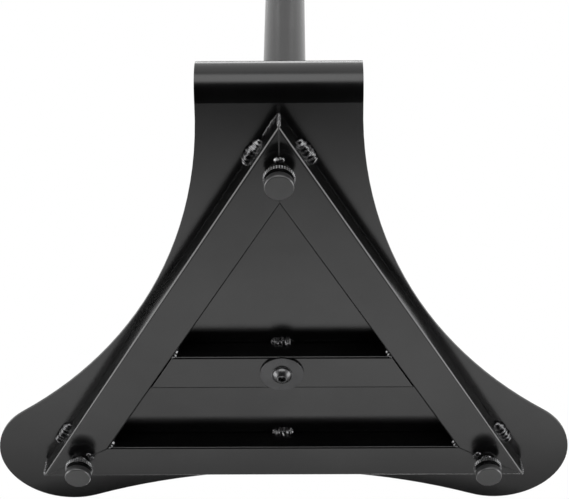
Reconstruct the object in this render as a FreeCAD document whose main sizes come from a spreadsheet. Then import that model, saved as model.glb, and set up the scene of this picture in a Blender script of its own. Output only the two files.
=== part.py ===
"""Studio monitor stand: a flared base plate with a rolled end on a welded tube frame, three levelling
feet, a telescoping column with a clamp collar, and a platform for a loudspeaker.

Millimetres, +Z up, origin on the floor under the middle of the base. The rolled end points to +Y (back).
"""
import FreeCAD
import Part
import Sketcher
import math
import os
import re

Vector = FreeCAD.Vector

# Driving dimensions: alias, value, what it measures
SIZES = [
    ("base_width", 432.0, "base plate across its two lobes"),
    ("lobe_radius", 51.3, "round of each lobe"),
    ("lobe_inset", 8.62, "frame's front wall to the line of the lobe centres"),
    ("wide_edge_radius", 419.0, "hollow front edge between the lobes"),
    ("end_width", 105.3, "width of the rolled end"),
    ("roll_margin", 6.43, "frame's back corner to the start of the roll"),
    ("roll_radius", 17.3, "outside of the roll"),
    ("roll_leaf", 14.0, "straight leaf after the half turn of the roll"),
    ("plate_thickness", 2.0, "base plate"),
    ("frame_margin", 34.55, "side of the base plate to the frame's front corner"),
    ("bar_width", 30.0, "frame tube across the floor side"),
    ("bar_height", 16.5, "frame tube from its floor side to the plate"),
    ("bar_wall", 2.0, "frame tube wall"),
    ("bar_corner", 1.5, "frame tube outer corner radius"),
    ("cross_gap", 0.2, "cross bar end to the side bar"),
    ("column_setback", 1.3, "frame's centre to the column, towards the back"),
    ("bead_length", 20.0, "weld bead along a side bar"),
    ("inner_bead_length", 15.5, "weld bead along the cross bar and inside the front bar"),
    ("bead_leg", 4.6, "weld bead across plate and wall"),
    ("bead_from_corner", 34.4, "frame corner to the nearest bead on a side bar"),
    ("foot_from_corner", 34.0, "frame corner to the foot axis, on the bisector"),
    ("foot_clearance", 18.2, "floor to the underside of the frame"),
    ("pad_diameter", 19.0, "foot pad"),
    ("pad_height", 4.9, "foot pad"),
    ("pad_chamfer", 0.6, "foot pad's lower edge"),
    ("socket_depth", 2.5, "socket of the foot pad"),
    ("spigot_diameter", 6.0, "lower end of the levelling screw"),
    ("neck_diameter", 9.0, "levelling screw between pad and wheel"),
    ("neck_length", 3.4, "pad to wheel"),
    ("wheel_diameter", 20.8, "knurled wheel"),
    ("wheel_thickness", 3.0, "knurled wheel"),
    ("knurl_count", 40, "straight knurls round the wheel"),
    ("knurl_depth", 0.45, "depth of a knurl"),
    ("stud_diameter", 8.0, "levelling screw thread"),
    ("stud_engaged", 10.0, "levelling screw inside its bush"),
    ("tip_chamfer", 0.8, "end of a threaded stud"),
    ("bush_diameter", 14.0, "threaded bush of a foot"),
    ("bolt_diameter", 8.0, "column bolt thread"),
    ("bolt_hole", 9.0, "clearance hole for the column bolt"),
    ("bolt_grip", 16.0, "column bolt inside the plug"),
    ("head_diameter", 14.0, "column bolt's button head"),
    ("head_height", 4.4, "column bolt's button head"),
    ("head_round", 3.4, "dome of the button head"),
    ("head_socket", 5.0, "hexagon socket across flats"),
    ("head_socket_depth", 2.6, "hexagon socket"),
    ("washer_diameter", 31.0, "large washer under the frame"),
    ("washer_thickness", 1.6, "large washer"),
    ("spring_diameter", 15.0, "curved spring washer"),
    ("spring_thickness", 0.5, "curved spring washer, drawn flat by the bolt"),
    ("column_diameter", 40.0, "column tube"),
    ("column_wall", 2.0, "column tube"),
    ("column_length", 791.3, "column tube"),
    ("plug_height", 25.0, "plug in the column's foot"),
    ("collar_wall", 6.0, "clamp collar round the column tube"),
    ("collar_skirt", 46.0, "clamp collar below the column's top"),
    ("collar_cap", 14.0, "clamp collar above the column's top"),
    ("collar_chamfer", 2.0, "clamp collar's outer rims"),
    ("boss_diameter", 24.0, "boss of the clamp screw"),
    ("boss_reach", 12.0, "boss face to the collar's outside"),
    ("clamp_drop", 22.0, "column's top to the clamp screw's axis"),
    ("insert_diameter", 12.0, "threaded insert of the boss"),
    ("insert_length", 16.0, "threaded insert of the boss"),
    ("clamp_diameter", 8.0, "clamp screw thread"),
    ("clamp_hole", 9.0, "hole of the clamp screw in the column tube"),
    ("shoe_diameter", 6.4, "pressure shoe of the clamp screw"),
    ("shoe_length", 5.0, "pressure shoe of the clamp screw"),
    ("shoe_gap", 0.1, "pressure shoe to the inner tube"),
    ("knob_diameter", 44.0, "star knob across its lobes"),
    ("knob_height", 20.0, "star knob"),
    ("knob_gap", 3.0, "star knob to the boss"),
    ("knob_lobes", 6, "lobes of the star knob"),
    ("knob_scallop", 16.0, "diameter of a hollow between two lobes"),
    ("knob_scallop_depth", 4.5, "depth of a hollow between two lobes"),
    ("knob_grip", 14.0, "clamp screw inside the knob"),
    ("knob_edge", 2.0, "rounded rim of the knob"),
    ("set_screw_diameter", 5.0, "set screw of the collar"),
    ("set_screw_drop", 36.0, "column's top to the set screws"),
    ("set_screw_socket", 2.5, "hexagon socket across flats"),
    ("set_screw_socket_depth", 2.5, "hexagon socket"),
    ("slide_gap", 0.5, "column tube to inner tube"),
    ("inner_wall", 2.0, "inner tube"),
    ("inner_length", 610.0, "inner tube"),
    ("ring_height", 10.0, "guide ring at the inner tube's lower end"),
    ("ring_wall", 5.5, "guide ring"),
    ("ring_play", 0.1, "guide ring to the faces above and below it"),
    ("ring_slit", 2.0, "gap of the guide ring"),
    ("end_flange", 3.0, "flange that holds the guide ring"),
    ("end_flange_inset", 2.0, "that flange inside the inner tube's outline"),
    ("end_spigot", 18.0, "end plug inside the inner tube"),
    ("platform_gap", 43.0, "collar to hub at the lowest setting"),
    ("hub_diameter", 96.0, "platform hub"),
    ("hub_thickness", 6.0, "platform hub"),
    ("hub_spigot", 40.0, "platform hub inside the inner tube"),
    ("platform_width", 240.0, "platform, left to right"),
    ("platform_depth", 270.0, "platform, front to back"),
    ("platform_thickness", 4.0, "platform"),
    ("platform_corner", 18.0, "platform corners"),
    ("screw_circle", 70.0, "pitch circle of the platform screws"),
    ("screw_diameter", 6.0, "platform screw thread"),
    ("screw_head", 12.0, "countersunk head"),
    ("screw_length", 9.5, "platform screw, over all"),
    ("screw_socket", 4.0, "hexagon socket across flats"),
    ("screw_socket_depth", 2.2, "hexagon socket"),
    ("strip_length", 86.0, "rubber strip"),
    ("strip_width", 18.0, "rubber strip"),
    ("strip_thickness", 2.5, "rubber strip"),
    ("strip_corner", 4.0, "corners of a rubber strip"),
    ("strip_inset", 12.0, "platform edge to a rubber strip"),
    ("fit", 0.05, "radial clearance of a fixed fit"),
    ("run", 0.08, "radial clearance of a running fit"),
    ("overrun", 2.0, "extra reach of a cutting profile"),
]

# Sizes that follow from the driving dimensions
DERIVED = [
    ("frame_side", "base_width - 2 * frame_margin"),
    ("frame_inset", "frame_side / (2 * sqrt(3))"),
    ("lobe_setback", "frame_inset - lobe_inset"),
    ("roll_start", "frame_side / sqrt(3) + roll_margin"),
    ("frame_y", "(lobe_setback + lobe_radius - roll_start - roll_radius) / 2"),
    ("column_y", "frame_y + column_setback"),
    ("lobe_x", "base_width / 2 - lobe_radius"),
    ("foot_circle", "frame_side / sqrt(3) - foot_from_corner"),
    ("plate_bottom", "foot_clearance + bar_height"),
    ("plate_top", "plate_bottom + plate_thickness"),
    ("column_top", "plate_top + column_length"),
    ("column_bore", "column_diameter / 2 - column_wall"),
    ("collar_radius", "column_diameter / 2 + collar_wall"),
    ("boss_face", "collar_radius + boss_reach"),
    ("inner_radius", "column_bore - slide_gap"),
    ("inner_bore", "inner_radius - inner_wall"),
    ("hub_bottom", "column_top + collar_cap + platform_gap"),
    ("inner_bottom", "hub_bottom - inner_length"),
    ("ring_seat", "ring_height + 2 * ring_play"),
    ("ring_bore", "column_bore - run - ring_wall"),
    ("platform_bottom", "hub_bottom + hub_thickness"),
    ("platform_top", "platform_bottom + platform_thickness"),
    ("shoe_start", "inner_radius + shoe_gap"),
    ("clamp_start", "shoe_start + shoe_length + fit"),
    ("knob_start", "boss_face + knob_gap"),
    ("screw_offset", "screw_circle / (2 * sqrt(2))"),
]

ALIASES = [row[0] for row in SIZES] + [row[0] for row in DERIVED]
FEET = (("back", 90.0), ("left", 210.0), ("right", 330.0))
BARS = (("front", 0.0), ("right", 120.0), ("left", 240.0))

doc = FreeCAD.newDocument("monitor_stand")
sheet = doc.addObject("Spreadsheet::Sheet", "Sizes")
nodes = []


def fill_sheet():
    """Write every size with its alias and meaning into the sheet."""
    for row, (alias, value, meaning) in enumerate(SIZES, start=1):
        sheet.set(f"A{row}", meaning)
        sheet.set(f"B{row}", str(value))
        sheet.setAlias(f"B{row}", alias)
    for row, (alias, formula) in enumerate(DERIVED, start=len(SIZES) + 1):
        sheet.set(f"B{row}", "=" + formula)
        sheet.setAlias(f"B{row}", alias)
    doc.recompute()


def linked(formula):
    """Return a formula whose size names point into the sheet."""
    return re.sub(r"[a-z][a-z_]+", lambda word: "Sizes." + word[0] if word[0] in ALIASES else word[0], formula)


def bind(feature, prop, formula):
    """Tie one property of a feature to a formula of sizes."""
    feature.setExpression(prop, linked(formula))


def place(piece, position, turn=None):
    """Put a piece at a position given as three formulas, turned about an axis by a fixed angle."""
    if turn:
        axis, angle = turn
        piece.Placement = FreeCAD.Placement(Vector(0, 0, 0), FreeCAD.Rotation(axis, angle))
    for letter, formula in zip("xyz", position):
        bind(piece, "Placement.Base." + letter, formula)


def new_body(node):
    """Start a sub-part whose label names its file."""
    body = doc.addObject("PartDesign::Body", node)
    body.Label = node
    nodes.append(body)
    return body


def sketch_on(body, plane):
    """Add a sketch on one of the body's own origin planes."""
    sketch = body.newObject("Sketcher::SketchObject", body.Label + "_sketch")
    support = [item for item in body.Origin.OriginFeatures if item.Role == plane][0]
    sketch.AttachmentSupport = [(support, "")]
    sketch.MapMode = "FlatFace"
    return sketch


def fix_point(sketch, line, end, position):
    """Hold one end of a sketch element at a position given as two formulas."""
    for kind, axis, formula in (("DistanceX", -2, position[0]), ("DistanceY", -1, position[1])):
        if formula == "0":
            sketch.addConstraint(Sketcher.Constraint("PointOnObject", line, end, axis))
        else:
            index = sketch.addConstraint(Sketcher.Constraint(kind, -1, 1, line, end, 1.0 + line))
            bind(sketch, f"Constraints[{index}]", formula)


def polygon(sketch, corners):
    """Draw a closed outline through corners given as pairs of formulas."""
    first = sketch.GeometryCount
    count = len(corners)
    rough = [Vector(math.cos(math.tau * i / count), math.sin(math.tau * i / count), 0) for i in range(count)]
    for i in range(count):
        sketch.addGeometry(Part.LineSegment(rough[i], rough[(i + 1) % count]), False)
    for i in range(count):
        sketch.addConstraint(Sketcher.Constraint("Coincident", first + i, 2, first + (i + 1) % count, 1))
    for i, corner in enumerate(corners):
        fix_point(sketch, first + i, 1, corner)


def circle(sketch, centre, diameter):
    """Draw a circle with its centre and diameter tied to formulas."""
    index = sketch.GeometryCount
    sketch.addGeometry(Part.Circle(Vector(5 + index, 5, 0), Vector(0, 0, 1), 3.0), False)
    fix_point(sketch, index, 3, centre)
    size = sketch.addConstraint(Sketcher.Constraint("Diameter", index, 6.0))
    bind(sketch, f"Constraints[{size}]", diameter)


def hexagon(sketch, across_flats):
    """Draw a hexagon about the sketch's origin."""
    half = f"({across_flats}) / 2"
    point = f"({across_flats}) / sqrt(3)"
    polygon(sketch, [(point, "0"), (f"{point} / 2", half), (f"-{point} / 2", half),
                     (f"-{point}", "0"), (f"-{point} / 2", f"-{half}"), (f"{point} / 2", f"-{half}")])


def pad(body, sketch, length, symmetric=False):
    """Extrude a sketch."""
    feature = body.newObject("PartDesign::Pad", body.Label + "_pad")
    feature.Profile = sketch
    if symmetric:
        feature.SideType = "Symmetric"
    bind(feature, "Length", length)
    doc.recompute()
    return feature


def solid_volume(body):
    """Return the body's present volume."""
    doc.recompute()
    return body.Shape.Volume


def pocket(body, sketch, depth=None, both=False, flip=False):
    """Cut a sketch through the body, or to a depth, and make sure that it did cut."""
    before = body.Tip.Shape.Volume
    feature = body.newObject("PartDesign::Pocket", body.Label + "_pocket")
    feature.Profile = sketch
    feature.Reversed = flip
    if both:
        feature.SideType = "Symmetric"
    if depth:
        bind(feature, "Length", depth)
    else:
        feature.Type = "ThroughAll"
    if solid_volume(body) >= before - 1e-6:
        raise RuntimeError(f"{body.Label}: a pocket cuts nothing")
    return feature


def revolve(body, corners, kind="Revolution"):
    """Turn an outline of (radius, height) formulas about the body's Z axis."""
    sketch = sketch_on(body, "XZ_Plane")
    polygon(sketch, corners)
    feature = body.newObject("PartDesign::" + kind, body.Label + "_turn")
    feature.Profile = sketch
    feature.ReferenceAxis = (sketch, ["V_Axis"])
    feature.Angle = 360.0
    doc.recompute()
    return feature


def turned(node, corners, position, turn=None):
    """Make a turned piece and put it in its place."""
    body = new_body(node)
    revolve(body, corners)
    place(body, position, turn)
    return body


def ring(inner, outer, low, high):
    """Return the outline of a plain ring."""
    return [(inner, low), (outer, low), (outer, high), (inner, high)]


def around(body, feature, count):
    """Repeat a feature round the body's Z axis."""
    pattern = body.newObject("PartDesign::PolarPattern", body.Label + "_pattern")
    pattern.Originals = [feature]
    pattern.Axis = (feature.Profile[0], ["N_Axis"])
    pattern.Angle = 360.0
    bind(pattern, "Occurrences", count)
    body.Tip = pattern
    doc.recompute()
    return pattern


def edges_along(shape, direction, test=lambda edge: True):
    """Name the straight edges that run along a direction."""
    names = []
    for index, edge in enumerate(shape.Edges, start=1):
        if isinstance(edge.Curve, Part.Line) and abs(abs(edge.Curve.Direction.dot(direction)) - 1) < 1e-6:
            if test(edge):
                names.append(f"Edge{index}")
    return names


def edges_round(shape, height):
    """Name the circular edges about the Z axis that lie at a height."""
    return [f"Edge{index}" for index, edge in enumerate(shape.Edges, start=1)
            if isinstance(edge.Curve, Part.Circle) and abs(edge.Curve.Center.z - height) < 1e-6]


def fillet(body, base, names, radius):
    """Round named edges of a feature."""
    feature = body.newObject("PartDesign::Fillet", body.Label + "_fillet")
    feature.Base = (base, names)
    bind(feature, "Radius", radius)
    doc.recompute()
    return feature


def base_plate():
    """Bend-up plate: tangent arcs for the flanks, lobes and front edge, and a half-turn roll at the back."""
    body = new_body("base_plate")
    size = sheet.get
    end, start = size("end_width") / 2, size("roll_start")
    lobe_r, lobe_x, lobe_y = size("lobe_radius"), size("lobe_x"), -size("lobe_setback")
    wide_r = size("wide_edge_radius")
    reach, drop = lobe_x - end, start - lobe_y
    flank_r = (reach ** 2 + drop ** 2 - lobe_r ** 2) / (2 * (reach + lobe_r))
    flank = Vector(end + flank_r, start, 0)
    lobe = Vector(lobe_x, lobe_y, 0)
    wide = Vector(0, lobe_y - math.sqrt((wide_r + lobe_r) ** 2 - lobe_x ** 2), 0)
    flank_turn = math.atan2(flank.y - lobe.y, flank.x - lobe.x)
    wide_turn = math.atan2(wide.y - lobe.y, wide.x - lobe.x)
    front_middle = Vector(0, wide.y + wide_r, 0)
    back_middle = Vector(0, start, 0)
    back_corner = Vector(end, start, 0)
    up = Vector(0, 0, 1)

    half = sketch_on(body, "XY_Plane")
    half.addGeometry([
        Part.LineSegment(back_middle, front_middle),
        Part.ArcOfCircle(Part.Circle(wide, up, wide_r), wide_turn + math.pi, math.pi / 2),
        Part.ArcOfCircle(Part.Circle(lobe, up, lobe_r), wide_turn, flank_turn),
        Part.ArcOfCircle(Part.Circle(flank, up, flank_r), math.pi, flank_turn + math.pi),
        Part.LineSegment(back_corner, back_middle),
    ], False)
    middle, front, lobe_arc, flank_arc, back = range(5)
    for rule in (("Coincident", middle, 1, back, 2), ("PointOnObject", middle, 1, -2),
                 ("PointOnObject", middle, 2, -2), ("PointOnObject", front, 3, -2),
                 ("Coincident", front, 2, middle, 2), ("Tangent", front, 1, lobe_arc, 1),
                 ("Tangent", lobe_arc, 2, flank_arc, 2), ("Coincident", flank_arc, 1, back, 1),
                 ("Horizontal", back), ("Horizontal", flank_arc, 3, flank_arc, 1)):
        half.addConstraint(Sketcher.Constraint(*rule))
    for rule, formula in ((("DistanceX", -1, 1, back, 1, end), "end_width / 2"),
                          (("DistanceY", -1, 1, back, 1, start), "roll_start"),
                          (("DistanceX", -1, 1, lobe_arc, 3, lobe_x), "lobe_x"),
                          (("DistanceY", lobe_arc, 3, -1, 1, -lobe_y), "lobe_setback"),
                          (("Radius", lobe_arc, lobe_r), "lobe_radius"),
                          (("Radius", front, wide_r), "wide_edge_radius")):
        index = half.addConstraint(Sketcher.Constraint(*rule))
        bind(half, f"Constraints[{index}]", formula)
    flat = pad(body, half, "plate_thickness")
    mirrored = body.newObject("PartDesign::Mirrored", "base_plate_mirrored")
    mirrored.Originals = [flat]
    mirrored.MirrorPlane = (half, ["V_Axis"])
    body.Tip = mirrored
    doc.recompute()

    outer, leaf, sheet_t = size("roll_radius"), size("roll_leaf"), size("plate_thickness")
    inner = outer - sheet_t
    centre = Vector(start, outer, 0)
    roll = sketch_on(body, "YZ_Plane")
    roll.addGeometry([
        Part.ArcOfCircle(Part.Circle(centre, up, outer), -math.pi / 2, math.pi / 2),
        Part.LineSegment(Vector(start, 2 * outer, 0), Vector(start - leaf, 2 * outer, 0)),
        Part.LineSegment(Vector(start - leaf, 2 * outer, 0), Vector(start - leaf, 2 * outer - sheet_t, 0)),
        Part.LineSegment(Vector(start - leaf, 2 * outer - sheet_t, 0), Vector(start, 2 * outer - sheet_t, 0)),
        Part.ArcOfCircle(Part.Circle(centre, up, inner), -math.pi / 2, math.pi / 2),
        Part.LineSegment(Vector(start, sheet_t, 0), Vector(start, 0, 0)),
    ], False)
    outside, top, tip, under, inside, foot = range(6)
    for rule in (("Coincident", outside, 2, top, 1), ("Coincident", top, 2, tip, 1),
                 ("Coincident", tip, 2, under, 1), ("Coincident", under, 2, inside, 2),
                 ("Coincident", inside, 1, foot, 1), ("Coincident", foot, 2, outside, 1),
                 ("Coincident", outside, 3, inside, 3), ("Horizontal", top), ("Horizontal", under),
                 ("Vertical", tip), ("Vertical", foot), ("PointOnObject", foot, 2, -1),
                 ("Vertical", outside, 3, outside, 2), ("Vertical", outside, 3, outside, 1),
                 ("Vertical", inside, 3, inside, 2)):
        roll.addConstraint(Sketcher.Constraint(*rule))
    for rule, formula in ((("DistanceX", -1, 1, outside, 3, start), "roll_start"),
                          (("Radius", outside, outer), "roll_radius"),
                          (("DistanceX", top, 2, top, 1, leaf), "roll_leaf"),
                          (("DistanceY", tip, 2, tip, 1, sheet_t), "plate_thickness")):
        index = roll.addConstraint(Sketcher.Constraint(*rule))
        bind(roll, f"Constraints[{index}]", formula)
    pad(body, roll, "end_width", symmetric=True)

    hole = sketch_on(body, "XY_Plane")
    circle(hole, ("0", "column_setback"), "bolt_hole")
    pocket(body, hole, both=True)
    place(body, ("0", "frame_y", "plate_bottom"))


def tube_bar(node, length):
    """Start a frame bar: rectangular tube along X, its outer wall at Y 0, rounded along its corners."""
    body = new_body(node)
    section = sketch_on(body, "YZ_Plane")
    polygon(section, [("0", "0"), ("bar_width", "0"), ("bar_width", "bar_height"), ("0", "bar_height")])
    solid = pad(body, section, length, symmetric=True)
    fillet(body, solid, edges_along(solid.Shape, Vector(1, 0, 0)), "bar_corner")
    hollow = sketch_on(body, "YZ_Plane")
    polygon(hollow, [("bar_wall", "bar_wall"), ("bar_width - bar_wall", "bar_wall"),
                     ("bar_width - bar_wall", "bar_height - bar_wall"), ("bar_wall", "bar_height - bar_wall")])
    pocket(body, hollow, both=True)
    return body


def frame_bars():
    """Three bars, mitred where they meet, with a hole for a foot bush on each mitre."""
    for name, angle in BARS:
        body = tube_bar("frame_bar_" + name, "frame_side")
        mitre = sketch_on(body, "XY_Plane")
        reach = "(bar_width + overrun)"
        for side in ("", "-"):
            polygon(mitre, [(f"{side}frame_side / 2", "0"), (f"{side}frame_side / 2", reach),
                            (f"{side}(frame_side / 2 - {reach} * sqrt(3))", reach)])
        pocket(body, mitre, both=True)
        holes = sketch_on(body, "XY_Plane")
        for side in ("", "-"):
            circle(holes, (f"{side}(frame_side - foot_from_corner * sqrt(3)) / 2", "foot_from_corner / 2"),
                   "bush_diameter + 2 * fit")
        pocket(body, holes, both=True)
        place(body, (f"frame_inset * sin({angle} deg)", f"frame_y - frame_inset * cos({angle} deg)",
                     "foot_clearance"), (Vector(0, 0, 1), angle))


def cross_bar():
    """Bar under the column, its ends cut along the side bars, with the bolt's hole through it."""
    reach = "(frame_inset - bar_width - cross_gap - column_setback / 2) * 2 / sqrt(3)"
    body = tube_bar("frame_cross_bar", f"2 * {reach} + bar_width / sqrt(3)")
    ends = sketch_on(body, "XY_Plane")
    far = f"({reach} + bar_width)"
    slope = "(bar_width / 2 + overrun) / sqrt(3)"
    for side in ("", "-"):
        polygon(ends, [(f"{side}({reach} + {slope})", "-overrun"), (f"{side}{far}", "-overrun"),
                       (f"{side}{far}", "bar_width + overrun"),
                       (f"{side}({reach} - {slope})", "bar_width + overrun")])
    pocket(body, ends, both=True)
    hole = sketch_on(body, "XY_Plane")
    circle(hole, ("0", "bar_width / 2"), "bolt_hole")
    pocket(body, hole, both=True)
    place(body, ("0", "column_y - bar_width / 2", "foot_clearance"))


def weld_bead(position, outward, length):
    """Quarter-round bead in the corner between the plate and a bar's wall, tapered at both ends."""
    bead = doc.addObject("Part::Ellipsoid", "weld_bead")
    bead.Angle3 = 90.0
    bind(bead, "Radius1", f"{length} / 2")
    bind(bead, "Radius2", "bead_leg")
    bind(bead, "Radius3", "bead_leg")
    down = Vector(0, 0, -1)
    turn = FreeCAD.Rotation(outward, down, outward.cross(down), "ZXY")
    bead.Placement = FreeCAD.Placement(Vector(0, 0, 0), turn)
    place(bead, position)
    return bead


def weld_beads():
    """Beads on the outside of the side bars near their ends, and on the inner bars at the middle."""
    beads = []
    along = "(frame_side / 2 - bead_from_corner)"
    for angle in (120.0, 240.0):
        outward = Vector(math.sin(math.radians(angle)), -math.cos(math.radians(angle)), 0)
        for side in ("", "-"):
            x = f"frame_inset * sin({angle} deg) + {side}{along} * cos({angle} deg)"
            y = f"frame_y - frame_inset * cos({angle} deg) + {side}{along} * sin({angle} deg)"
            beads.append(weld_bead((x, y, "plate_bottom"), outward, "bead_length"))
    for wall in ("column_y + bar_width / 2", "frame_y - frame_inset + bar_width"):
        beads.append(weld_bead(("0", wall, "plate_bottom"), Vector(0, 1, 0), "inner_bead_length"))
    group = doc.addObject("Part::Compound", "weld_beads")
    group.Links = beads
    nodes.append(group)


def feet():
    """Threaded bush, knurled levelling screw and pad at each frame corner."""
    for name, angle in FEET:
        spot = (f"foot_circle * cos({angle} deg)", f"frame_y + foot_circle * sin({angle} deg)")
        turned("foot_bush_" + name,
               ring("stud_diameter / 2 + run", "bush_diameter / 2", "0", "bar_height"),
               spot + ("foot_clearance",))
        floor = "pad_height - socket_depth"
        socket = "spigot_diameter / 2 + run"
        turned("foot_pad_" + name, [
            ("0", "0"), ("pad_diameter / 2 - pad_chamfer", "0"), ("pad_diameter / 2", "pad_chamfer"),
            ("pad_diameter / 2", "pad_height"), (socket, "pad_height"), (socket, floor), ("0", floor),
        ], spot + ("0",))
        wheel = "(pad_height + neck_length)"
        top = "(foot_clearance + stud_engaged)"
        screw = turned("foot_screw_" + name, [
            ("0", f"{floor} + fit"), ("spigot_diameter / 2", f"{floor} + fit"),
            ("spigot_diameter / 2", "pad_height + fit"), ("neck_diameter / 2", "pad_height + fit"),
            ("neck_diameter / 2", wheel), ("wheel_diameter / 2", wheel),
            ("wheel_diameter / 2", f"{wheel} + wheel_thickness"),
            ("stud_diameter / 2", f"{wheel} + wheel_thickness"), ("stud_diameter / 2", f"{top} - tip_chamfer"),
            ("stud_diameter / 2 - tip_chamfer", top), ("0", top),
        ], spot + ("0",))
        notch = sketch_on(screw, "XY_Plane")
        rim = "(wheel_diameter / 2 + knurl_depth)"
        half = "knurl_depth * 2"
        polygon(notch, [("wheel_diameter / 2 - knurl_depth", "0"), (rim, f"-{half}"), (rim, half)])
        around(screw, pocket(screw, notch, both=True), "knurl_count")


def column_foot():
    """Button-head bolt, spring washer and large washer below the cross bar, and the column's threaded plug."""
    axis = ("0", "column_y")
    hole = "bolt_hole / 2"
    turned("column_washer", ring(hole, "washer_diameter / 2", "0", "washer_thickness"),
           axis + ("foot_clearance - washer_thickness",))
    turned("column_spring_washer", ring(hole, "spring_diameter / 2", "0", "spring_thickness"),
           axis + ("foot_clearance - washer_thickness - spring_thickness",))
    shank = "bolt_diameter / 2"
    under_head = "spring_thickness + washer_thickness + bar_height + plate_thickness"
    end = f"(head_height + {under_head} + bolt_grip)"
    bolt = turned("column_bolt", [
        ("0", "0"), ("head_diameter / 2", "0"), ("head_diameter / 2", "head_height"), (shank, "head_height"),
        (shank, f"{end} - tip_chamfer"), (f"{shank} - tip_chamfer", end), ("0", end),
    ], axis + ("foot_clearance - washer_thickness - spring_thickness - head_height",), (Vector(0, 0, 1), 30.0))
    fillet(bolt, bolt.Tip, edges_round(bolt.Tip.Shape, 0.0), "head_round")
    socket = sketch_on(bolt, "XY_Plane")
    hexagon(socket, "head_socket")
    pocket(bolt, socket, depth="head_socket_depth", flip=True)
    turned("column_plug", ring(f"{shank} + fit", "column_bore - fit", "0", "plug_height"),
           axis + ("plate_top",))


def column():
    """Column tube with the clamp screw's hole in its back."""
    body = turned("column_tube", ring("column_bore", "column_diameter / 2", "0", "column_length"),
                  ("0", "column_y", "plate_top"))
    hole = sketch_on(body, "XZ_Plane")
    circle(hole, ("0", "column_length - clamp_drop"), "clamp_hole")
    pocket(body, hole)


def collar():
    """Clamp collar: a sleeve over the column's top whose cap guides the inner tube, with a boss at the back."""
    body = new_body("clamp_collar")
    high = "(collar_skirt + collar_cap)"
    revolve(body, [("0", "0"), ("collar_radius - collar_chamfer", "0"), ("collar_radius", "collar_chamfer"),
                   ("collar_radius", f"{high} - collar_chamfer"), ("collar_radius - collar_chamfer", high),
                   ("0", high)])
    clamp_height = "collar_skirt - clamp_drop"
    boss = sketch_on(body, "XZ_Plane")
    circle(boss, ("0", clamp_height), "boss_diameter")
    pad(body, boss, "boss_face").Reversed = True
    doc.recompute()
    sleeve = "column_diameter / 2 + fit"
    guide = "inner_radius + run"
    before = body.Shape.Volume
    revolve(body, [("0", "-overrun"), (sleeve, "-overrun"), (sleeve, "collar_skirt"), (guide, "collar_skirt"),
                   (guide, f"{high} + overrun"), ("0", f"{high} + overrun")], kind="Groove")
    if body.Shape.Volume >= before:
        raise RuntimeError("clamp_collar: the bore cuts nothing")
    insert = sketch_on(body, "XZ_Plane")
    circle(insert, ("0", clamp_height), "insert_diameter + 2 * fit")
    pocket(body, insert)
    set_hole = sketch_on(body, "YZ_Plane")
    circle(set_hole, ("0", "collar_skirt - set_screw_drop"), "set_screw_diameter + 2 * fit")
    pocket(body, set_hole, both=True)
    place(body, ("0", "column_y", "column_top - collar_skirt"))


def clamp():
    """Insert, pressure shoe, screw and star knob on a radial axis that points to the back."""
    spot = ("0", "column_y", "column_top - clamp_drop")
    outward = (Vector(1, 0, 0), -90)
    shank = "clamp_diameter / 2"
    turned("clamp_insert",
           ring(f"{shank} + run", "insert_diameter / 2", "boss_face - insert_length", "boss_face"),
           spot, outward)
    turned("clamp_shoe", [("0", "shoe_start"), ("shoe_diameter / 2", "shoe_start"),
                          ("shoe_diameter / 2", "shoe_start + shoe_length"), ("0", "shoe_start + shoe_length")],
           spot, outward)
    end = "(knob_start + knob_grip)"
    turned("clamp_screw", [("0", "clamp_start"), (f"{shank} - tip_chamfer", "clamp_start"),
                           (shank, "clamp_start + tip_chamfer"), (shank, end), ("0", end)], spot, outward)
    bore = f"{shank} + fit"
    rim = "knob_diameter / 2"
    top = "(knob_start + knob_height)"
    floor = f"{end} + fit"
    knob = turned("clamp_knob", [
        (bore, "knob_start"), ("boss_diameter / 2", "knob_start"), (rim, "knob_start + knob_edge * 2"),
        (rim, f"{top} - knob_edge"), (f"{rim} - knob_edge", top), ("0", top), ("0", floor), (bore, floor),
    ], spot, outward)
    hollow = sketch_on(knob, "XY_Plane")
    circle(hollow, (f"{rim} + knob_scallop / 2 - knob_scallop_depth", "0"), "knob_scallop")
    around(knob, pocket(knob, hollow, both=True), "knob_lobes")


def set_screws():
    """Two set screws that hold the collar on the column, facing each other."""
    screw = doc.addObject("PartDesign::Body", "set_screw")
    revolve(screw, [("0", "column_diameter / 2 + fit"), ("set_screw_diameter / 2", "column_diameter / 2 + fit"),
                    ("set_screw_diameter / 2", "collar_radius - fit"), ("0", "collar_radius - fit")])
    socket = sketch_on(screw, "XY_Plane")
    hexagon(socket, "set_screw_socket")
    bind(socket, "AttachmentOffset.Base.z", "collar_radius - fit")
    pocket(screw, socket, depth="set_screw_socket_depth")
    place(screw, ("0", "column_y", "column_top - set_screw_drop"), (Vector(0, 1, 0), 90))
    opposite = doc.addObject("Part::Mirroring", "set_screw_opposite")
    opposite.Source = screw
    opposite.Normal = Vector(1, 0, 0)
    group = doc.addObject("Part::Compound", "collar_set_screws")
    group.Links = [screw, opposite]
    nodes.append(group)


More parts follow.
